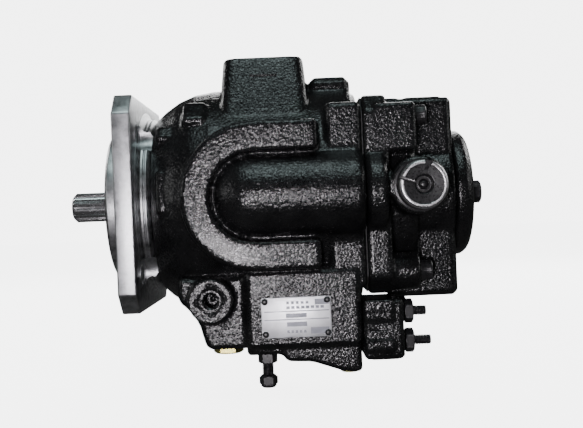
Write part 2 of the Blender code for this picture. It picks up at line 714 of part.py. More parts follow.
def relief_cap(look):
    """The large round cap on the near side: stem in its boss, rim, centre recess and two driving slots."""
    profile = [
        (80, 0), (80, 12), (98.4, 12), (98.4, 20.5), (102, 20.5), (102, 17.6), (104, 17.6), (104, 18.5),
        (118, 18.5), (120, 17.4), (120, 8), (113, 7), (113, 4), (108, 3.4), (108, 0),
    ]
    cap = node("relief_cap", turned("relief_cap", profile, 24, "-Y"), RELIEF)
    slots = [
        helper("cap_slot_left", box("cap_slot_left", (-22, -124, 1.5), (-10, -114, 4.1)), RELIEF),
        helper("cap_slot_top", box("cap_slot_top", (-2, -124, 12), (2, -114, 24)), RELIEF),
    ]
    cut(cap, *slots)
    return paint(cap, look)


def rear_parts(black):
    cover = [
        (274.3, 0), (274.3, 52), (275.5, 54), (283, 54), (288, 50), (290, 44), (290, 12), (286, 10.5),
        (286, 0),
    ]
    paint(node("rear_cover", turned("rear_cover", cover, 36)), black)
    plug = node("rear_plug", prism("rear_plug", hexagon(17), 288, 304, "X", 0.8))
    add(plug, helper("rear_plug_flange", rod("rear_plug_flange", 286.3, 289, 10, 24)))
    paint(plug, black)


def nameplate(look):
    plate = prism("nameplate", chamfered_square(27, 15.5, 1.5), -91, -90.3, "Y")
    return paint(node("nameplate", plate, (138.5, 0, -93)), look)


def build():
    for old in list(bpy.data.objects):
        bpy.data.objects.remove(old, do_unlink=True)
    machined = material("machined_flange", (0.62, 0.62, 0.61), 1.0, 0.32)
    cast = material("painted_casting", (0.012, 0.012, 0.013), 0.0, 0.34)
    black = material("black_fittings", (0.014, 0.014, 0.015), 0.2, 0.38)
    steel = material("ground_steel", (0.55, 0.55, 0.56), 1.0, 0.22)
    bronze = material("bearing_bronze", (0.55, 0.36, 0.16), 1.0, 0.35)
    zinc = material("yellow_zinc", (0.62, 0.52, 0.16), 1.0, 0.32)
    rubber = material("seal_rubber", (0.02, 0.02, 0.02), 0.0, 0.6)
    plate = material("nameplate_metal", (0.72, 0.72, 0.74), 1.0, 0.3)
    spring = material("spring_steel", (0.2, 0.2, 0.21), 1.0, 0.4)

    mounting_flange(machined)
    body = housing(cast)
    cover = end_cover(cast)
    gasket = cover_gasket(rubber)
    bolt_holes = cover_bolt_holes()
    for piece in (body, cover, gasket):
        cut(piece, *bolt_holes)
    for i, (y, z) in enumerate(COVER_BOLTS):
        cap_screw(f"cover_bolt_{i + 1}", COVER_BOLT_SEAT + GAP, 181, 5, 8, 10, (0, y, z), black)
    rear_parts(black)
    relief_cap(black)
    valve_plate(bronze)
    bearings(steel, bronze, rubber)
    rotating_group(steel, bronze, spring, cast)
    stroke_control(steel, spring)
    valve_body = compensator(black, steel)
    screw_holes = compensator_screw_holes()
    for piece in (body, valve_body):
        cut(piece, *screw_holes)
    for i, z in enumerate((-89, -124)):
        cap_screw(f"compensator_screw_{i + 1}", 222.3, 173, 3, 5, 6, (0, -50, z), black)
    hex_plug("front_drain_plug", -117.3, 22, 10, 6, 12, (80.5, -30, 0), zinc)
    hex_plug("rear_drain_plug", -141.3, 14, 6, 5, 12, (182, -30, 0), zinc)
    line_fitting(black)
    nameplate(plate)


build()
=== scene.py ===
"""Looks of the axial piston pump: castings, fasteners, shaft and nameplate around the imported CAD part.

Lengths are in millimetres in the part's frame unless a comment says otherwise, and MM makes metres of them.
"""

import json
from math import cos, pi, radians, sin, sqrt, tan

import bmesh
import bpy
import numpy as np
from mathutils import Matrix, Vector, noise


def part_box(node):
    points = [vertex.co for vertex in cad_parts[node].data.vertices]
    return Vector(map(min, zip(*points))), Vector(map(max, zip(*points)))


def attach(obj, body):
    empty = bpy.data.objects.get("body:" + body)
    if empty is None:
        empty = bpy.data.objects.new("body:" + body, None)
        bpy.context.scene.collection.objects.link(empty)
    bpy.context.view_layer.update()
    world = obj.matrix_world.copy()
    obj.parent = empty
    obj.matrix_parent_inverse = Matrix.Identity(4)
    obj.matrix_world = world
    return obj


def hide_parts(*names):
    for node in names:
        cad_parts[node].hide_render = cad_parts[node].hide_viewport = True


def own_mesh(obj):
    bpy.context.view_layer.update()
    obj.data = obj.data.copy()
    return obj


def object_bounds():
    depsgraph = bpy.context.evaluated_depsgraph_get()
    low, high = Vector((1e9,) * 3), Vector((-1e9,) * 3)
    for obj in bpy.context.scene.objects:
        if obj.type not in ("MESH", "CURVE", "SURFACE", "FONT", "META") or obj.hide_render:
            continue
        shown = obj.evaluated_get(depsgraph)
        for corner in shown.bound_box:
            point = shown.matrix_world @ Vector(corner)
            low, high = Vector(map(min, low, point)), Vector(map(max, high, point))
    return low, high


MM = 0.001
SMOOTH_UP_TO = radians(32)
TURNED_POINTS = 72

DRAIN_PORT = (73, 0, -77.5)
TOP_PORT = (119.5, 0, 0)
LINE_PORTS_X = 250
RELIEF_CAP = (237.5, 0, 5.2)
BULGE_START, BULGE_R, BULGE_CENTRE = 108, 34, (0, -80, 2)
SPOOL_Y, SPOOLS_Z = -68, (-94, -117.5)
FLANGE_HALF, FLANGE_CORNER, FLANGE_THICK, FLANGE_HOLE = 87.5, 16, 15, 57.25
CASTING_WAVE = 3.5

# How near to a machined plane a point has to be to stay smooth.
MACHINED = 0.9

# Turned surfaces that are polygons in the CAD: axis, centre, radius, number of sides, start and end along it.
HOUSING_ROUNDS = [
    ("X", (0, 0, 0), 96, 40, (74, 191)),
    ("X", BULGE_CENTRE, BULGE_R, 28, (BULGE_START, 196)),
    ("X", (0, 80, 0), 25, 20, (92, 196)),
    ("Y", DRAIN_PORT, 17.5, 24, (-101, -84)),
    ("Y", (110, 0, 2), 57.5, 20, (-104, -60)),
    ("Y", (110, 0, 2), 34.5, 16, (-104, -60)),
]
COVER_ROUNDS = [
    ("X", (0, 0, 0), 74, 32, (216, 241)),
    ("X", (0, 0, 0), 54, 36, (226, 275)),
    ("Y", RELIEF_CAP, 22.8, 24, (-99, -40)),
    ("X", (0, -76, 2), 32, 24, (196, 214)),
    ("X", (0, -68, -62), 15, 14, (205, 239)),
    ("X", (0, 68, -62), 15, 14, (205, 239)),
]
COMPENSATOR_ROUNDS = [("X", (0, SPOOL_Y, z), 10.5, 16, (222, 225)) for z in SPOOLS_Z]

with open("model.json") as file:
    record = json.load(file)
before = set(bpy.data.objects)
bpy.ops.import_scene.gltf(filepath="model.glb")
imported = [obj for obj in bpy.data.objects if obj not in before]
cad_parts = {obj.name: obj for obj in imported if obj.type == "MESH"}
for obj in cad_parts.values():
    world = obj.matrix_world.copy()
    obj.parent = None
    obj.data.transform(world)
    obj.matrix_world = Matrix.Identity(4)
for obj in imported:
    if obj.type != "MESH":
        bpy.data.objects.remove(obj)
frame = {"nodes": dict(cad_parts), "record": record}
cad_low, cad_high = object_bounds()

# Turns a shape made along X so that it runs along another axis.
ALONG = {
    "X": Matrix.Identity(3),
    "Y": Matrix.Rotation(pi / 2, 3, "Z"),
    "Z": Matrix.Rotation(-pi / 2, 3, "Y"),
    "-Y": Matrix.Rotation(-pi / 2, 3, "Z"),
    "-Z": Matrix.Rotation(pi / 2, 3, "Y"),
}


# ---------------------------------------------------------------- meshes

def new_object(name, mesh):
    made = bpy.data.objects.new(name, mesh)
    bpy.context.scene.collection.objects.link(made)
    return made


def shade(mesh):
    mesh.shade_smooth()
    mesh.set_sharp_from_angle(angle=SMOOTH_UP_TO)


def ringed(name, rings, axis="X", origin=(0, 0, 0), points=TURNED_POINTS, wrap=False):
    """A solid through rings of (distance along the axis, radius or radii), with flat ends unless it wraps."""
    angles = np.arange(points) * 2 * pi / points
    across = np.stack([np.zeros(points), np.cos(angles), np.sin(angles)], 1)
    place = np.array(ALONG[axis])
    rows = []
    for x, r in rings:
        ring = across * np.broadcast_to(r, points)[:, None]
        ring[:, 0] = x
        rows.append((ring @ place.T + np.array(origin)) * MM)
    count = len(rows)
    index = np.arange(count * points).reshape(count, points)
    spans = range(count if wrap else count - 1)
    faces = []
    for i in spans:
        a, b = index[i], index[(i + 1) % count]
        a_next, b_next = np.roll(a, -1), np.roll(b, -1)
        faces += np.stack([a, a_next, b_next, b], 1).tolist()
    if not wrap:
        faces += [index[0][::-1].tolist(), index[-1].tolist()]
    mesh = bpy.data.meshes.new(name)
    mesh.from_pydata(np.concatenate(rows).tolist(), [], faces)
    shape = bmesh.new()
    shape.from_mesh(mesh)
    bmesh.ops.recalc_face_normals(shape, faces=shape.faces)
    shape.to_mesh(mesh)
    shape.free()
    shade(mesh)
    return new_object(name, mesh)


def eased(profile, r):
    """The profile with each corner between its ends rounded to about r."""
    steps = 3
    out = [profile[0]]
    for before, here, after in zip(profile, profile[1:], profile[2:]):
        p, q, s = (np.array(v, float) for v in (before, here, after))
        to_p, to_s = np.linalg.norm(p - q), np.linalg.norm(s - q)
        if min(to_p, to_s) < 1e-6:
            continue
        a = q + (p - q) / to_p * min(r, to_p * 0.45)
        b = q + (s - q) / to_s * min(r, to_s * 0.45)
        for i in range(steps + 1):
            t = i / steps
            out.append(tuple(a * (1 - t) ** 2 + 2 * q * t * (1 - t) + b * t * t))
    return out + [profile[-1]]


def lathe(name, profile, axis="X", origin=(0, 0, 0), points=96, ease=0.4, wrap=False):
    """A solid of revolution. A profile that wraps is a ring off the axis."""
    closed = profile + profile[:2] if wrap else profile
    rings = eased(closed, ease) if ease else closed
    if wrap and ease:
        rings = rings[1:-1]
    return ringed(name, rings, axis, origin, points, wrap)


def hex_radii(across_flats):
    """Distance from the axis to a hexagon's sides at each of a ring's angles."""
    angles = np.arange(TURNED_POINTS) * 2 * pi / TURNED_POINTS
    return across_flats / 2 / np.cos((angles + pi / 6) % (pi / 3) - pi / 6)


def hexagon(name, across_flats, start, end, axis="X", origin=(0, 0, 0)):
    """A hexagon head or nut whose corners are turned down by a 30 degree chamfer."""
    flats = hex_radii(across_flats)
    face_r, corner_r = across_flats * 0.475, across_flats / sqrt(3)
    depth = (corner_r - face_r) * tan(radians(30))
    cuts = [(depth * i / 5, face_r + (corner_r - face_r) * i / 5) for i in range(6)]
    low = [(start + x, np.minimum(flats, r)) for x, r in cuts]
    high = [(end - x, np.minimum(flats, r)) for x, r in reversed(cuts)]
    return ringed(name, low + high, axis, origin)


def threaded(start, end, r, pitch):
    """Rings of a screw thread, with its ends chamfered."""
    depth, taper, slope, rings_per_turn = 0.62 * pitch, 0.8, 0.8, 6
    angles = np.arange(TURNED_POINTS) / TURNED_POINTS
    rings = []
    count = int(round((end - start) / (pitch / rings_per_turn)))
    for i in range(count + 1):
        x = start + (end - start) * i / count
        wave = 1 - np.abs(((x / pitch + angles) % 1) * 2 - 1)
        crest = np.clip(wave * 1.5 - 0.1, 0, 1)
        radii = r - depth * (1 - crest)
        limit = min(r, r - taper + (x - start) * slope, r - taper + (end - x) * slope)
        rings.append((x, np.minimum(radii, limit)))
    return rings


def applied(obj):
    """Replaces the object's mesh by what its modifiers make of it."""
    graph = bpy.context.evaluated_depsgraph_get()
    mesh = bpy.data.meshes.new_from_object(obj.evaluated_get(graph), depsgraph=graph)
    obj.modifiers.clear()
    obj.data = mesh
    return obj


def combine(target, others, operation):
    """Joins, cuts or trims the target by closed shapes, which are then gone."""
    for other in others:
        change = target.modifiers.new("combine", "BOOLEAN")
        change.operation, change.solver, change.object = operation, "MANIFOLD", other
    applied(target)
    for other in others:
        bpy.data.objects.remove(other, do_unlink=True)
    return target


def rounded(shape, edge, segments):
    """Rounds every edge of a bmesh, if edge says by how much."""
    if edge:
        edges = shape.edges[:]
        bmesh.ops.bevel(shape, geom=edges, offset=edge * MM, segments=segments, affect="EDGES", profile=0.5)


def block(name, low, high, edge=0.0):
    shape = bmesh.new()
    bmesh.ops.create_cube(shape, size=1)
    size, middle = [h - l for l, h in zip(low, high)], [(h + l) / 2 for l, h in zip(low, high)]
    bmesh.ops.scale(shape, vec=Vector(size) * MM, verts=shape.verts)
    bmesh.ops.translate(shape, vec=Vector(middle) * MM, verts=shape.verts)
    rounded(shape, edge, 2)
    mesh = bpy.data.meshes.new(name)
    shape.to_mesh(mesh)
    shape.free()
    shade(mesh)
    return new_object(name, mesh)


def copy_of(node, name):
    """A CAD node's mesh as a closed mesh of its own, with the corners that its normals split joined again."""
    shape = bmesh.new()
    shape.from_mesh(frame["nodes"][node].data)
    bmesh.ops.remove_doubles(shape, verts=shape.verts, dist=1e-6)
    mesh = bpy.data.meshes.new(name)
    shape.to_mesh(mesh)
    shape.free()
    return new_object(name, mesh)


def points_of(mesh):
    flat = np.empty(len(mesh.vertices) * 3, np.float32)
    mesh.vertices.foreach_get("co", flat)
    return flat.reshape(-1, 3).astype(float)


def normals_of(mesh):
    flat = np.empty(len(mesh.vertices) * 3, np.float32)
    mesh.vertex_normals.foreach_get("vector", flat)
    return flat.reshape(-1, 3).astype(float)


def store(mesh, points):
    mesh.vertices.foreach_set("co", points.astype(np.float32).ravel())
    mesh.update()


def made_round(points, rounds):
    """Moves points that lie on a CAD polygon's side out to its true circle, and leaves the rest."""
    full, fade = 0.35, 0.5
    points = points.copy()
    for axis, centre, r, sides, (start, end) in rounds:
        along, u, v = {"X": (0, 1, 2), "Y": (1, 0, 2)}[axis]
        offset = points - np.array(centre) * MM
        angle = np.arctan2(offset[:, v], offset[:, u])
        distance = np.hypot(offset[:, u], offset[:, v]) / MM
        half = pi / sides
        polygon = r * cos(half) / np.cos(angle % (2 * half) - half)
        near = np.clip(1 - (np.abs(distance - polygon) - full) / fade, 0, 1)
        near *= (points[:, along] > start * MM) & (points[:, along] < end * MM)
        scale = 1 + near * (r / polygon - 1)
        points[:, u] = centre[u] * MM + offset[:, u] * scale
        points[:, v] = centre[v] * MM + offset[:, v] * scale
    return points


def cast_skin(mesh, height, seed, machined):
    """Sand-cast unevenness along the normals, none of it on machined planes: (axis number, place)."""
    wave = CASTING_WAVE
    points, normals = points_of(mesh), normals_of(mesh)
    shift = Vector((seed * 7.3, seed * 3.1, seed * 5.7))
    coarse = np.array([noise.noise(Vector(p) / (wave * MM) + shift) for p in points])
    fine = np.array([noise.noise(Vector(p) / (wave * 0.45 * MM) - shift) for p in points])
    amount = (coarse * 0.6 + fine * 0.4) * height * MM
    for axis, place in machined:
        flat = (np.abs(points[:, axis] - place * MM) < MACHINED * MM) & (np.abs(normals[:, axis]) > 0.9)
        amount[flat] = 0
    store(mesh, points + normals * amount[:, None])


def casting(made, voxel, rounds, smoothing, height, seed, machined):
    """Remakes a closed shape as one even cast skin, with its edges and inner corners rounded off."""
    change = made.modifiers.new("skin", "REMESH")
    change.mode, change.voxel_size = "VOXEL", voxel * MM
    change = made.modifiers.new("soften", "SMOOTH")
    change.factor, change.iterations = 0.5, smoothing
    applied(made)
    store(made.data, made_round(points_of(made.data), rounds))
    cast_skin(made.data, height, seed, machined)
    made.data.shade_smooth()
    return made


def hole(name, mouth, depth, r, axis, origin, pitch=1.5):
    """A cutter for a tapped hole: chamfered mouth, thread, drill point."""
    chamfer, root = 1.2, r - 0.5 * pitch
    rings = [(mouth + 3, r + chamfer), (mouth, r + chamfer), (mouth - chamfer, r)]
    turns = int((depth - chamfer - 2) / pitch)
    for i in range(turns):
        x = mouth - chamfer - i * pitch
        rings += [(x - pitch * 0.25, r), (x - pitch * 0.6, root), (x - pitch * 0.9, root)]
    rings += [(mouth - depth, root), (mouth - depth - 0.6 * r, 0.4)]
    return ringed(name, rings, axis, origin, 40)


def recess(name, mouth, depth, r, axis, origin, points=64):
    """A cutter for a plain round recess with a lightly broken edge."""
    rings = [(mouth + 3, r + 0.4), (mouth, r + 0.4), (mouth - 0.4, r), (mouth - depth, r)]
    return ringed(name, rings, axis, origin, points)


def hand_over(piece, body, slot, *nodes):
    """Gives the piece its look, its body and the CAD nodes that it stands for."""
    piece.data.materials.clear()
    piece.data.materials.append(looks[slot])
    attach(piece, body)
    if nodes:
        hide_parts(*nodes)
    return piece


# ---------------------------------------------------------------- materials

class Look:
    """A Principled material and short ways to grow its node tree. Textures read object coordinates."""

    def __init__(self, name, metallic=0.0):
        self.material = bpy.data.materials.new(name)
        self.material.use_nodes = True
        self.tree = self.material.node_tree
        self.shader = self.tree.nodes["Principled BSDF"]
        self.shader.inputs["Metallic"].default_value = metallic
        self.place = self.add("ShaderNodeTexCoord").outputs["Object"]

    def add(self, kind, inputs=None, **settings):
        made = self.tree.nodes.new(kind)
        for key, value in settings.items():
            setattr(made, key, value)
        for key, value in (inputs or {}).items():
            if isinstance(value, bpy.types.NodeSocket):
                self.tree.links.new(value, made.inputs[key])
            else:
                made.inputs[key].default_value = value
        return made

    def stretched(self, scale):
        return self.add("ShaderNodeMapping", {"Vector": self.place, "Scale": scale}).outputs[0]

    def noise(self, wave, detail=3, roughness=0.55, vector=None):
        """Noise whose lumps are about wave millimetres across."""
        inputs = {"Vector": vector or self.place, "Scale": 1 / (wave * MM)}
        inputs.update({"Detail": detail, "Roughness": roughness})
        return self.add("ShaderNodeTexNoise", inputs).outputs["Fac"]

    def cells(self, wave):
        inputs = {"Vector": self.place, "Scale": 1 / (wave * MM), "Smoothness": 0.6}
        return self.add("ShaderNodeTexVoronoi", inputs, feature="SMOOTH_F1").outputs["Distance"]

    def ramp(self, value, *stops):
        made = self.add("ShaderNodeValToRGB", {"Fac": value})
        elements = made.color_ramp.elements
        while len(elements) < len(stops):
            elements.new(0.5)
        for element, (at, colour) in zip(elements, stops):
            element.position = at
            element.color = (*colour, 1) if isinstance(colour, tuple) else (colour, colour, colour, 1)
        return made.outputs["Color"]

    def range(self, value, low, high, to_low, to_high):
        inputs = {"Value": value, "From Min": low, "From Max": high, "To Min": to_low, "To Max": to_high}
        return self.add("ShaderNodeMapRange", inputs).outputs["Result"]

    def mixed(self, share, a, b):
        made = self.add("ShaderNodeMix", data_type="RGBA")
        for socket, value in zip((made.inputs[0], made.inputs[6], made.inputs[7]), (share, a, b)):
            if isinstance(value, bpy.types.NodeSocket):
                self.tree.links.new(value, socket)
            else:
                socket.default_value = value if isinstance(value, float) else (*value, 1)
        return made.outputs[2]

    def sum(self, a, b, share):
        """a plus share times b."""
        inputs = {0: b, 1: share, 2: a}
        return self.add("ShaderNodeMath", inputs, operation="MULTIPLY_ADD").outputs[0]

    def edges(self, low=0.51, high=0.56):
        """1 on outer edges, 0 on flats, from how sharply the surface turns."""
        turn = self.add("ShaderNodeNewGeometry").outputs["Pointiness"]
        return self.range(turn, low, high, 0, 1)

    def from_axis(self):
        """A point (x, distance from the shaft axis, 0), which is the same all round the axis."""
        parts = self.add("ShaderNodeSeparateXYZ", {"Vector": self.place})
        flat = self.add("ShaderNodeCombineXYZ", {"Y": parts.outputs["Y"], "Z": parts.outputs["Z"]})
        r = self.add("ShaderNodeVectorMath", {0: flat.outputs[0]}, operation="LENGTH").outputs["Value"]
        return self.add("ShaderNodeCombineXYZ", {"X": parts.outputs["X"], "Y": r}).outputs[0]

    def wire(self, **sockets):
        for key, value in sockets.items():
            socket = self.shader.inputs[key.replace("_", " ")]
            if isinstance(value, bpy.types.NodeSocket):
                self.tree.links.new(value, socket)
            else:
                socket.default_value = value
        return self

    def bump(self, height, depth):
        made = self.add("ShaderNodeBump", {"Height": height, "Strength": 1.0, "Distance": depth * MM})
        return self.wire(Normal=made.outputs["Normal"])


def painted_casting(name, grain=1.6, depth=0.42):
    """Gloss black paint that follows the grain of the sand casting under it."""
    look = Look(name)
    look.wire(Coat_Weight=0.05, Coat_Roughness=0.12)
    lumps = look.noise(grain, 2, 0.5)
    pits = look.cells(grain * 1.5)
    height = look.sum(look.sum(lumps, pits, -0.55), look.noise(grain * 0.4, 2), 0.18)
    look.bump(height, depth)
    look.wire(Specular_IOR_Level=look.range(look.noise(grain * 0.8, 2), 0.4, 0.66, 0.14, 0.8))
    tone = look.ramp(look.noise(22, 4), (0.3, (0.0035, 0.0036, 0.004)), (0.7, (0.0105, 0.0108, 0.0112)))
    rubbed = look.mixed(look.range(look.edges(0.53, 0.62), 0, 1, 0.0, 0.5), tone, (0.045, 0.042, 0.04))
    roughness = look.range(look.noise(9, 4), 0.3, 0.7, 0.18, 0.26)
    look.wire(Base_Color=rubbed, Roughness=roughness)
    return look.material


def bright_metal(name, colour, roughness, mottle=0.12, depth=0.02, line_wave=0.28):
    """Turned or milled metal: tool lines round the shaft axis, mottled tarnish, brighter edges."""
    look = Look(name, metallic=1.0)
    around = look.add("ShaderNodeMapping", {"Vector": look.from_axis(), "Scale": (1, 1, 0)}).outputs[0]
    tool = look.noise(line_wave, 3, 0.6, around)
    stains = look.noise(7, 5, 0.65)
    dark = tuple(c * (1 - 2.2 * mottle) for c in colour)
    light = tuple(min(1, c * (1 + mottle)) for c in colour)
    tone = look.ramp(stains, (0.32, dark), (0.55, colour), (0.8, light))
    worn = look.mixed(look.range(look.edges(), 0, 1, 0.0, 0.7), tone, tuple(min(1, c * 1.18) for c in colour))
    spread = look.sum(look.range(stains, 0.3, 0.75, roughness * 0.8, roughness * 1.35), tool, 0.0875)
    look.bump(look.sum(look.noise(1.1, 4), tool, 0.8), depth)
    look.wire(Base_Color=worn, Roughness=spread)
    return look.material


def blackened(name):
    """Black paint or oxide on machined steel, rubbed to metal on its edges."""
    look = Look(name)
    wear = look.range(look.noise(1.6, 4), 0.45, 0.62, 0, 1)
    edge = look.add("ShaderNodeMath", {0: look.edges(0.53, 0.6), 1: wear}, operation="MULTIPLY").outputs[0]
    tone = look.ramp(look.noise(5, 4), (0.3, (0.006, 0.006, 0.007)), (0.75, (0.02, 0.02, 0.021)))
    look.wire(Base_Color=look.mixed(look.range(edge, 0, 1, 0.0, 0.6), tone, (0.25, 0.25, 0.26)))
    look.wire(Roughness=look.range(look.noise(3, 4), 0.3, 0.7, 0.24, 0.42))
    look.bump(look.noise(0.7, 4), 0.05)
    return look.material


def yellow_zinc(name):
    """Yellow chromate plate: gold with green and rose shifts."""
    look = Look(name, metallic=1.0)
    film = look.ramp(
        look.noise(4, 3), (0.3, (0.42, 0.36, 0.09)), (0.5, (0.72, 0.6, 0.2)), (0.62, (0.55, 0.56, 0.16)),
        (0.78, (0.7, 0.45, 0.25)),
    )
    look.wire(Base_Color=film, Roughness=look.range(look.noise(2, 4), 0.3, 0.7, 0.18, 0.36))
    look.bump(look.noise(0.5, 3), 0.02)
    return look.material


def rubber(name):
    look = Look(name)
    look.wire(Base_Color=look.ramp(look.noise(3, 4), (0.3, 0.012), (0.7, 0.028)))
    look.wire(Roughness=look.range(look.noise(1.2, 3), 0.3, 0.7, 0.5, 0.72))
    look.bump(look.noise(0.4, 4), 0.04)
    return look.material


def label_plate(name, colour, roughness):
    """Rolled sheet metal with its grain along the plate."""
    look = Look(name, metallic=1.0)
    grain = look.noise(0.5, 3, 0.6, look.stretched((0.05, 1, 1)))
    tone = look.ramp(look.noise(9, 3), (0.3, tuple(c * 0.82 for c in colour)), (0.7, colour))
    look.wire(Base_Color=tone, Roughness=look.range(grain, 0.3, 0.7, roughness * 0.75, roughness * 1.3))
    look.bump(grain, 0.012)
    return look.material


def spring_wire(name):
    """Oil-tempered wire: blue-black scale with brown patches."""
    look = Look(name, metallic=1.0)
    scale, bare, brown = (0.05, 0.055, 0.07), (0.16, 0.16, 0.17), (0.2, 0.15, 0.1)
    tone = look.ramp(look.noise(3, 4), (0.3, scale), (0.6, bare), (0.8, brown))
    look.wire(Base_Color=tone, Roughness=look.range(look.noise(1, 3), 0.3, 0.7, 0.28, 0.5))
    look.bump(look.noise(0.6, 4), 0.03)
    return look.material


looks = {
    "painted_iron": painted_casting("painted_iron"),
    "bare_casting": bright_metal("bare_casting", (0.52, 0.53, 0.54), 0.3, mottle=0.24, depth=0.08),
    "black_fittings": blackened("black_fittings"),
    "ground_steel": bright_metal("ground_steel", (0.56, 0.56, 0.57), 0.2, mottle=0.06, line_wave=0.16),
    "bronze": bright_metal("bronze", (0.60, 0.38, 0.17), 0.3, mottle=0.14),
    "yellow_zinc": yellow_zinc("yellow_zinc"),
    "seal_rubber": rubber("seal_rubber"),
    "label_metal": label_plate("label_metal", (0.86, 0.87, 0.9), 0.44),
    "spring_steel": spring_wire("spring_steel"),
    "bare_iron": bright_metal("bare_iron", (0.24, 0.24, 0.235), 0.42, mottle=0.2, depth=0.05),
}
label_ink = label_plate("label_ink", (0.13, 0.135, 0.15), 0.4)


# ---------------------------------------------------------------- pieces

def extruded(name, outline, start, end, axis, edge, segments):
    """An outline of (u, v) points drawn out along an axis; u and v are the other two axes in order."""
    place = {"X": (2, 0, 1), "Y": (0, 2, 1), "Z": (0, 1, 2)}[axis]
    shape = bmesh.new()
    rings = []
    for w in (start, end):
        rows = [(u, v, w) for u, v in outline]
        rings.append([shape.verts.new(Vector([row[i] for i in place]) * MM) for row in rows])
    count = len(outline)
    shape.faces.new(rings[0])
    shape.faces.new(rings[1])
    for i in range(count):
        j = (i + 1) % count
        shape.faces.new((rings[0][i], rings[0][j], rings[1][j], rings[1][i]))
    bmesh.ops.recalc_face_normals(shape, faces=shape.faces)
    rounded(shape, edge, segments)
    mesh = bpy.data.meshes.new(name)
    shape.to_mesh(mesh)
    shape.free()
    shade(mesh)
    return new_object(name, mesh)


def cut_square(half, corner):
    """The outline of a square with its corners cut off."""
    inner = half - corner
    return [
        (half, inner), (inner, half), (-inner, half), (-half, inner),
        (-half, -inner), (-inner, -half), (inner, -half), (half, -inner),
    ]


def centre_of(node):
    low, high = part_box(node)
    return tuple((low + high) / 2 / MM)


def housing():
    made = copy_of("pump_housing", "housing_casting")
    quarter = [radians(a) for a in range(0, 91, 5)]
    dome_profile = [(BULGE_START - BULGE_R * cos(a), BULGE_R * sin(a)) for a in quarter]
    dome_profile += [(BULGE_START + 4, BULGE_R), (BULGE_START + 4, 0)]
    dome = lathe("bulge_dome", dome_profile, origin=BULGE_CENTRE, ease=0)
    combine(dome, [block("dome_back", (60, -94, -50), (120, -40, 50))], "DIFFERENCE")
    combine(made, [dome], "UNION")
    machined = [(0, 26.3), (0, 190), (0, 195), (2, 117)]
    made = casting(made, 1.5, HOUSING_ROUNDS, 3, 0.05, 1, machined)
    mark = block("casting_mark", (108.5, -56.3, 100.6), (130.5, -52, 101.7), 0.4)
    combine(made, [mark], "UNION")
    cutters = [
        recess("drain_spot_face", 100.2, 0.9, 15.4, "-Y", DRAIN_PORT),
        hole("drain_thread", 99.4, 20, 7.9, "-Y", DRAIN_PORT),
        recess("top_spot_face", 117.1, 0.8, 15, "Z", TOP_PORT),
        hole("top_thread", 116.3, 30, 9.6, "Z", TOP_PORT, 2),
    ]
    combine(made, cutters, "DIFFERENCE")
    sleeve = [(86, 5.2), (97.6, 5.2), (98.9, 6.5), (98.9, 8.9), (86, 8.9)]
    combine(made, [lathe("drain_sleeve", sleeve, "-Y", DRAIN_PORT, wrap=True)], "UNION")
    return hand_over(made, "casing", "painted_iron", "pump_housing")


def end_cover():
    """Casting with the suction port on top, the pressure port below, and four tapped holes round each."""
    machined = [(0, 196.4), (0, 274), (2, 80), (2, -85.5)]
    made = casting(copy_of("end_cover", "end_cover_casting"), 1.4, COVER_ROUNDS, 3, 0.05, 2, machined)
    cutters = []
    ports = [("Z", 80, 19.6, 17.85, 34.95), ("-Z", 85.5, 13.1, 13.1, 26.2)]
    for axis, face, r, half_x, half_y in ports:
        cutters.append(recess("port_mouth", face, 12, r, axis, (LINE_PORTS_X, 0, 0)))
        for u, v in [(-1, -1), (-1, 1), (1, -1), (1, 1)]:
            place = (LINE_PORTS_X + u * half_x, v * half_y, 0)
            cutters.append(hole("port_bolt", face, 20, 5.6, axis, place))
    combine(made, cutters, "DIFFERENCE")
    return hand_over(made, "casing", "painted_iron", "end_cover")


def rear_cover():
    back = 274.3
    profile = [
        (back, 0), (back, 52), (275.5, 54), (283, 54), (288, 50), (290, 44), (290, 12), (286, 10.5), (286, 0),
    ]
    made = lathe("rear_cover_casting", profile, points=160, ease=1.5)
    made = casting(made, 1.3, [], 2, 0.05, 3, [(0, back)])
    hand_over(made, "casing", "painted_iron", "rear_cover")
    plug = hexagon("rear_plug_head", 17, 288, 304)
    flange = lathe("rear_plug_flange", [(286.3, 0), (286.3, 10), (289, 10), (289, 0)])
    combine(plug, [flange], "UNION")
    shade(plug.data)
    hand_over(plug, "casing", "black_fittings", "rear_plug")


def compensator_body():
    """Casting with a lobe over each spool, and the mouths and bores that the spools slide in."""
    body = copy_of("compensator_body", "compensator_casting")
    lobe = [(191.6, 0), (191.6, 11.5), (214, 11.5), (214, 0)]
    lobes = [lathe(f"lobe_{i}", lobe, origin=(0, -80.2, z), ease=2) for i, z in enumerate((-94.5, -118))]
    pads = [
        block("upper_pad", (191.5, -92, -92), (214, -80, -82.4), 1),
        block("foot", (195, -86, -130), (219, -50, -125), 2),
    ]
    combine(body, lobes + pads, "UNION")
    made = casting(body, 0.95, COMPENSATOR_ROUNDS, 2, 0.05, 4, [(0, 190.4)])
    cutters = [block("face_slot", (195, -94, -106.6), (209, -87, -104.2), 0.5)]
    cutters += [recess("spool_mouth", 224.2, 3, 5.2, "X", (0, SPOOL_Y, z), 40) for z in SPOOLS_Z]
    cutters += [ringed("spool_bore", [(200, 4.5), (223, 4.5)], "X", (0, SPOOL_Y, z), 56) for z in SPOOLS_Z]
    combine(made, cutters, "DIFFERENCE")
    return hand_over(made, "casing", "painted_iron", "compensator_body")


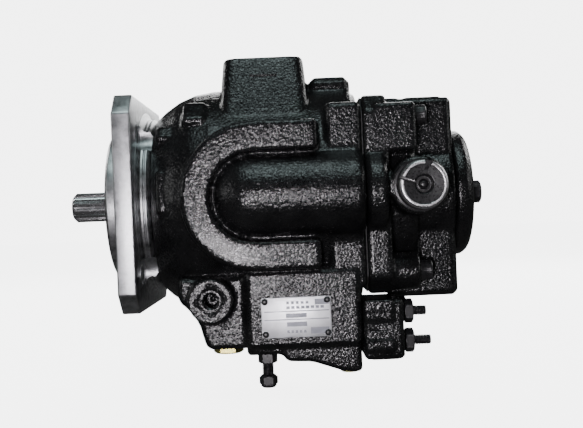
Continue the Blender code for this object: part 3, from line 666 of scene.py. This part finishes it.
def flange():
    """Machined square plate with a turned pilot and neck; the saddles of the swash plate stand inside it."""
    plate = extruded("flange_plate", cut_square(FLANGE_HALF, FLANGE_CORNER), 0, FLANGE_THICK, "X", 1.5, 3)
    turning = [
        (-12.7, 0), (-12.7, 61.3), (-10.5, 63.5), (-2, 63.5), (-1.4, 62.9), (0.5, 62.9), (0.5, 60), (5, 60),
        (5, 80), (15.4, 80), (16.4, 76.2), (18.2, 74.3), (20.2, 74), (20.5, 73.3), (21.5, 73.3), (21.8, 74),
        (23, 74), (25.9, 71), (25.9, 63.2), (36, 63.2), (36, 0),
    ]
    neck = lathe("flange_neck", turning, points=180, ease=0.5)
    saddles = [block("saddle", (30, -30, z), (45.5, 30, z + 17), 0.3) for z in (27, -44)]
    combine(plate, [neck] + saddles, "UNION")
    bore = [(-20, 26.3), (10, 26.3), (10, 18.5), (15.7, 18.5), (15.7, 34.3), (60, 34.3)]
    cutters = [
        ringed("saddle_seat", [(-60, 48.6), (60, 48.6)], "Z", (84, 0, 0), 96),
        ringed("flange_bore", bore, points=96),
    ]
    edges = [
        (-3, 8.2), (0, 8.2), (1, 7.2), (FLANGE_THICK - 1, 7.2), (FLANGE_THICK, 8.2),
        (FLANGE_THICK + 0.1, 14), (FLANGE_THICK + 13, 14),
    ]
    for y in (-FLANGE_HOLE, FLANGE_HOLE):
        for z in (-FLANGE_HOLE, FLANGE_HOLE):
            cutters.append(ringed("flange_hole", edges, "X", (0, y, z), 48))
    combine(plate, cutters, "DIFFERENCE")
    plate.name = "flange_machined"
    shade(plate.data)
    return hand_over(plate, "casing", "bare_casting", "mounting_flange")


def cap_screw(node, head_r, head, shank_r, socket_flats):
    """A knurled socket-head screw that fills its CAD screw's length."""
    low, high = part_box(node)
    _, y, z = centre_of(node)
    centre = (0, y, z)
    tip, top = low.x / MM, high.x / MM
    seat = top - head
    points = 144
    knurl = head_r - 0.2 * (np.cos(np.arange(points) * 2 * pi / points * 36) > 0)
    rings = [(tip, shank_r * 0.8), (tip + 0.8, shank_r), (seat, shank_r), (seat, head_r - 0.4)]
    rings += [(seat + 0.4, head_r), (seat + 1.2, head_r), (seat + 1.4, knurl), (top - 1.5, knurl)]
    rings += [(top - 1.3, head_r), (top - 0.7, head_r - 0.1), (top, head_r - 0.8)]
    made = ringed(f"{node}_screw", rings, "X", centre, points)
    flats = hex_radii(socket_flats)
    socket = ringed("socket", [(top - head * 0.55, flats), (top + 1, flats)], "X", centre)
    lead = ringed("lead", [(top - 0.6, socket_flats * 0.5), (top + 0.1, socket_flats * 0.62)], "X", centre)
    combine(made, [socket, lead], "DIFFERENCE")
    shade(made.data)
    return hand_over(made, "casing", "black_fittings", node)


def adjuster(name):
    """An adjusting screw with a hexagon key socket, and its lock nut."""
    _, y, z = centre_of(f"{name}_lock_nut")
    place = (0, y, z)
    low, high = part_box(f"{name}_lock_nut")
    nut = hexagon(f"{name}_nut", 17, low.x / MM, high.x / MM, "X", place)
    combine(nut, [recess("nut_bore", high.x / MM, 12, 4.25, "X", place, 48)], "DIFFERENCE")
    shade(nut.data)
    hand_over(nut, "casing", "black_fittings", f"{name}_lock_nut")
    low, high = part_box(f"{name}_adjuster")
    end = high.x / MM
    screw = ringed(f"{name}_screw", threaded(low.x / MM, end, 4, 1.25), "X", place)
    key = ringed("key", [(end - 4.5, hex_radii(4)), (end + 1, hex_radii(4))], "X", place)
    combine(screw, [key], "DIFFERENCE")
    shade(screw.data)
    hand_over(screw, f"{name}_adjuster_body", "black_fittings", f"{name}_adjuster")


def drain_plug(node, flats, head):
    """A hexagon plug that hangs from its flange: its head is down."""
    low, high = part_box(node)
    x, y, _ = centre_of(node)
    bottom, top = low.z / MM, high.z / MM
    seat = bottom + head
    place = (x, y, 0)
    made = hexagon(f"{node}_head", flats, bottom, seat, "Z", place)
    collar = lathe("collar", [
        (seat - 2.2, 0), (seat - 2.2, flats * 0.56), (seat, flats * 0.56), (seat, 4.8), (top, 4.8), (top, 0),
    ], "Z", place)
    dimple = ringed("dimple", [(bottom - 1, 3.4), (bottom, 2.8), (bottom + 0.8, 1.4)], "Z", place)
    combine(made, [collar], "UNION")
    combine(made, [dimple], "DIFFERENCE")
    shade(made.data)
    return hand_over(made, "casing", "yellow_zinc", node)


def line_fitting():
    """Hexagon adapter, bare thread, and the capped union nut below it."""
    low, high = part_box("line_fitting")
    x, y, _ = centre_of("line_fitting")
    place, bottom, top = (x, y, 0), low.z / MM, high.z / MM
    seat = top - 11
    made = hexagon("fitting_adapter", 14, seat - 12, seat, "Z", place)
    tail = lathe("tail", [
        (bottom, 0), (bottom, 5), (bottom + 1.5, 6.6), (bottom + 10, 6.6), (bottom + 11.5, 4.2),
        (bottom + 13, 3.6), (bottom + 19, 3.6), (bottom + 21, 5.2), (seat, 5.2), (seat, 4.3), (top, 4.3),
        (top, 0),
    ], "Z", place)
    thread = ringed("thread", threaded(bottom + 11, seat - 11.5, 4.9, 1.25), "Z", place)
    nut = hexagon("union_nut", 13.5, bottom + 2.6, bottom + 9.6, "Z", place)
    combine(made, [tail, thread, nut], "UNION")
    shade(made.data)
    return hand_over(made, "casing", "black_fittings", "line_fitting")


def relief_cap():
    """Grooved round cap: worn bright rim, driving slot, notch, and a pin in the middle of its recess."""
    profile = [
        (80, 0), (80, 12), (98.4, 12), (98.4, 20.5), (101.2, 20.5), (101.6, 18), (103, 18), (103.4, 19),
        (105.6, 19), (106, 18), (107.4, 18), (107.8, 18.6), (117.2, 18.6), (119.2, 17.8), (120, 16.9),
        (120, 15.2), (119.4, 14.8), (119.4, 7.6), (118.4, 6.8), (113, 6.4), (113, 3.6), (116.4, 3.2),
        (117.6, 2.0), (118, 0),
    ]
    made = lathe("relief_cap_turned", profile, "-Y", RELIEF_CAP, 144, 0.35)
    slot = block("slot", (-21.5, -122, -1.3), (-6.5, -115.5, 1.3), 0.3)
    notch = ringed("notch", [(114, 3.2), (122, 3.2)], "-Y", (4.3, 0, 17), 32)
    key = block("key", (1.2, -122, 10.5), (3.6, -115, 17), 0.3)
    slot.data.transform(Matrix.Rotation(radians(17.5), 4, "Y"))
    for cutter in (slot, notch, key):
        cutter.data.transform(Matrix.Translation(Vector(RELIEF_CAP) * MM))
    combine(made, [slot, notch, key], "DIFFERENCE")
    shade(made.data)
    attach(made, "casing")
    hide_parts("relief_cap")
    made.data.materials.clear()
    made.data.materials.append(worn_rim("cap_worn_rim", RELIEF_CAP, 15, 18.8))


def worn_rim(name, centre, inner, outer):
    """Black finish worn to bright metal on a ring round the cap's axis."""
    look = Look(name)
    parts = look.add("ShaderNodeSeparateXYZ", {"Vector": look.place})
    u, v = (
        look.add("ShaderNodeMath", {0: parts.outputs[letter], 1: at * MM}, operation="SUBTRACT").outputs[0]
        for letter, at in (("X", centre[0]), ("Z", centre[2]))
    )
    flat = look.add("ShaderNodeCombineXYZ", {"X": u, "Y": v})
    r = look.add("ShaderNodeVectorMath", {0: flat.outputs[0]}, operation="LENGTH").outputs["Value"]
    ragged = look.sum(r, look.noise(3.2, 4), 0.0022)
    start, end = (inner + 1.1) * MM, (outer + 1.1) * MM
    rises = look.range(ragged, start, start + 0.0004, 0, 1)
    front = look.range(parts.outputs["Y"], -0.1172, -0.1188, 0, 1)
    falls = look.range(ragged, end, end + 0.0005, 1, 0)
    ring = look.add("ShaderNodeMath", {0: rises, 1: falls}, operation="MULTIPLY").outputs[0]
    bright = look.add("ShaderNodeMath", {0: ring, 1: front}, operation="MULTIPLY").outputs[0]
    dark = look.ramp(look.noise(2, 4), (0.3, (0.006, 0.006, 0.007)), (0.75, (0.025, 0.025, 0.026)))
    look.wire(Base_Color=look.mixed(bright, dark, (0.72, 0.72, 0.73)), Metallic=bright)
    look.wire(Roughness=look.range(look.noise(1.5, 4), 0.3, 0.7, 0.22, 0.4))
    look.bump(look.noise(0.8, 4), 0.08)
    return look.material


def drive_shaft():
    """Splined end with a centre hole, then the journals that run through the seal and the block."""
    points, teeth, outer_r, root_r = 240, 15, 12.7, 11.1
    phase = (np.arange(points) / points * teeth + 0.5) % 1 - 0.5
    spline = np.interp(np.abs(phase), [0.15, 0.3], [outer_r, root_r])
    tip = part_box("drive_shaft")[0].x / MM
    rings = [(tip + 7, 0.8), (tip + 2.2, 2.4), (tip, 3.6), (tip, 9.6)]
    rings += [(tip + d, np.minimum(spline, 9.8 + d)) for d in (0.4, 1.2, 2, 2.9)]
    rings += [(-19, spline), (-17, np.maximum(spline, 11.7)), (-15.5, np.maximum(spline, 12.4)), (-15, 12.7)]
    rings += eased([
        (-14.6, 12.7), (-8, 13.7), (-6.4, 17), (-6, 17.4), (58, 17.4), (60, 15), (177, 15), (178.5, 12.4),
        (203, 12.4), (204, 11.4),
    ], 0.3)
    made = ringed("drive_shaft_splined", rings, points=points)
    return hand_over(made, "shaft_group", "ground_steel", "drive_shaft")


def nameplate():
    """Blank data plate: brushed sheet, inked bands with empty fields, and four drive rivets."""
    low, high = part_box("nameplate")
    (left, front, bottom), (right, back, top) = low / MM, high / MM
    wide, tall = right - left, top - bottom
    corner = 1.6
    turns = [radians(a) for a in (0, 30, 60, 90)]
    outline = []
    corners = [(right, top, 1, 1), (left, top, -1, 1), (left, bottom, -1, -1), (right, bottom, 1, -1)]
    for x, z, sx, sz in corners:
        steps = turns if sx * sz > 0 else turns[::-1]
        outline += [(x - sx * corner * (1 - cos(a)), z - sz * corner * (1 - sin(a))) for a in steps]
    plate = extruded("nameplate_sheet", outline, front, back, "Y", 0.12, 2)
    hand_over(plate, "casing", "label_metal", "nameplate")
    # Shares of the plate: left, right, bottom and top of each inked band.
    bands = [
        (0.77, 0.97, 0.80, 0.94), (0.04, 0.97, 0.64, 0.665), (0.35, 0.65, 0.49, 0.60),
        (0.04, 0.97, 0.435, 0.46), (0.36, 0.65, 0.27, 0.385), (0.70, 0.97, 0.07, 0.24),
    ]
    bands += [(0.36 + 0.07 * i, 0.40 + 0.07 * i, 0.83, 0.90) for i in range(5)]
    bands += [(0.36 + 0.07 * i, 0.41 + 0.07 * i, 0.71, 0.78) for i in range(8)]
    bands += [(0.36 + 0.06 * i, 0.395 + 0.06 * i, 0.11, 0.18) for i in range(5)]
    ink = []
    for a, b, c, d in bands:
        low_corner = (left + a * wide, front - 0.06, bottom + c * tall)
        high_corner = (left + b * wide, front + 0.2, bottom + d * tall)
        ink.append(block("band", low_corner, high_corner))
    print_piece = ink[0]
    shape = bmesh.new()
    for band in ink:
        shape.from_mesh(band.data)
    shape.to_mesh(print_piece.data)
    shape.free()
    for band in ink[1:]:
        bpy.data.objects.remove(band, do_unlink=True)
    print_piece.name = "nameplate_print"
    print_piece.data.materials.append(label_ink)
    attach(print_piece, "casing")
    inset = 2.8
    for i, (x, z) in enumerate([(left, top), (right, top), (left, bottom), (right, bottom)]):
        place = (x + (inset if x == left else -inset), 0, z + (inset if z == bottom else -inset))
        dome = [(89.6, 0), (89.6, 2.6), (91.2, 2.6), (92, 2.1), (92.5, 1.1), (92.6, 0)]
        hand_over(lathe(f"nameplate_rivet_{i + 1}", dome, "-Y", place, 40, 0.3), "casing", "black_fittings")


def bias_spring():
    """A coil of wire over the CAD spring's length; it keeps that length as the bias piston moves."""
    low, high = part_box("bias_spring")
    start, end = low.x / MM, high.x / MM
    wire_r, mean_r, turns, sides, per_turn = 1.4, 7.2, 8, 12, 40
    _, y, z = centre_of("bias_spring")
    count = turns * per_turn
    rows = []
    for i in range(count + 1):
        angle = 2 * pi * i / per_turn
        x = start + wire_r + (end - start - 2 * wire_r) * i / count
        out = Vector((0, cos(angle), sin(angle)))
        for k in range(sides):
            turn = 2 * pi * k / sides
            wire = out * (mean_r + wire_r * cos(turn)) + Vector((wire_r * sin(turn), 0, 0))
            rows.append((Vector((x, y, z)) + wire) * MM)
    faces = []
    for i in range(count):
        a, b = i * sides, (i + 1) * sides
        faces += [(a + k, a + (k + 1) % sides, b + (k + 1) % sides, b + k) for k in range(sides)]
    faces += [tuple(range(sides)), tuple(range(count * sides, (count + 1) * sides))]
    mesh = bpy.data.meshes.new("bias_spring_coil")
    mesh.from_pydata(rows, [], faces)
    mesh.shade_smooth()
    made = new_object("bias_spring_coil", mesh)
    hand_over(made, "casing", "spring_steel", "bias_spring")
    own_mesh(made)


# ---------------------------------------------------------------- stage

def stage():
    """Pale floor under the lowest fitting, soft lights, and the camera. Lengths here are in metres."""
    ground = cad_low.z - 0.002
    floor = bpy.data.meshes.new("floor")
    reach = 6
    corners = ((-reach, -reach), (reach, -reach), (reach, reach), (-reach, reach))
    floor.from_pydata([(x, y, ground) for x, y in corners], [], [(0, 1, 2, 3)])
    made = new_object("floor", floor)
    look = Look("pale_floor")
    look.wire(Base_Color=look.ramp(look.noise(300, 2), (0.3, 0.78), (0.7, 0.82)), Roughness=0.9)
    look.wire(Specular_IOR_Level=0.1, Emission_Color=(1, 1, 1, 1), Emission_Strength=5)
    made.data.materials.append(look.material)
    # The black paint would mirror a bright floor as grey.
    made.visible_glossy = made.visible_diffuse = False

    middle = (cad_low + cad_high) / 2
    # Name, place, size, power, colour.
    lights = [
        ("front_light", (0.02, -1.0, -0.09), 0.12, 5.8, (1, 0.95, 1)),
        ("left_light", (-1.1, -0.5, 0.3), 0.5, 1.5, (1, 1, 1)),
        ("right_light", (1.4, -0.3, 0.3), 0.5, 1.5, (1, 1, 1)),
        ("back_light", (0.3, 1.4, 0.7), 1.0, 11, (1, 1, 1)),
        ("shaft_end_light", (-1.3, 1.0, 0.9), 0.8, 8, (1, 1, 1)),
        ("cover_end_light", (1.6, 0.9, 0.9), 0.8, 9, (1, 1, 1)),
    ]
    for name, place, size, power, colour in lights:
        lamp = bpy.data.lights.new(name, "AREA")
        lamp.shape, lamp.size, lamp.energy, lamp.color = "DISK", size, power, colour
        holder = new_object(name, lamp)
        holder.location = place
        holder.rotation_euler = (middle - Vector(place)).to_track_quat("-Z", "Y").to_euler()

    sun = bpy.data.lights.new("ceiling", "SUN")
    sun.energy, sun.angle, sun.color = 0.85, radians(30), (0.8, 1, 1)
    new_object("ceiling", sun).rotation_euler.x = radians(22)

    world = bpy.data.worlds.new("studio")
    bpy.context.scene.world = world
    world.use_nodes = True
    tree = world.node_tree
    tree.nodes["Background"].inputs["Color"].default_value = (0.9, 0.9, 0.9, 1)
    # The backdrop is bright to the camera and dim as a light.
    seen = tree.nodes.new("ShaderNodeLightPath")
    level = tree.nodes.new("ShaderNodeMapRange")
    level.inputs["To Min"].default_value = 0.06
    level.inputs["To Max"].default_value = 6.0
    tree.links.new(seen.outputs["Is Camera Ray"], level.inputs["Value"])
    tree.links.new(level.outputs["Result"], tree.nodes["Background"].inputs["Strength"])

    camera = bpy.data.cameras.new("camera")
    camera.sensor_width, camera.lens = 36, 54.3
    holder = new_object("camera", camera)
    turn = Matrix.Rotation(radians(90), 4, "X") @ Matrix.Rotation(radians(-2.4), 4, "Z")
    holder.matrix_world = Matrix.Translation((0.138, -0.772, -0.013)) @ turn
    bpy.context.scene.camera = holder


for row in frame["record"]["subparts"]:
    materials = frame["nodes"][row["node"]].data.materials
    materials.clear()
    materials.append(looks[row["material_slot"]])

housing()
end_cover()
rear_cover()
compensator_body()
flange()
for i in range(1, 5):
    cap_screw(f"cover_bolt_{i}", head_r=8, head=10, shank_r=5, socket_flats=8)
for i in (1, 2):
    cap_screw(f"compensator_screw_{i}", head_r=5, head=6, shank_r=3, socket_flats=5)
for name in ("pressure", "flow"):
    adjuster(name)
drain_plug("front_drain_plug", flats=22, head=10)
drain_plug("rear_drain_plug", flats=14, head=6)
line_fitting()
relief_cap()
drive_shaft()
nameplate()
bias_spring()
stage()
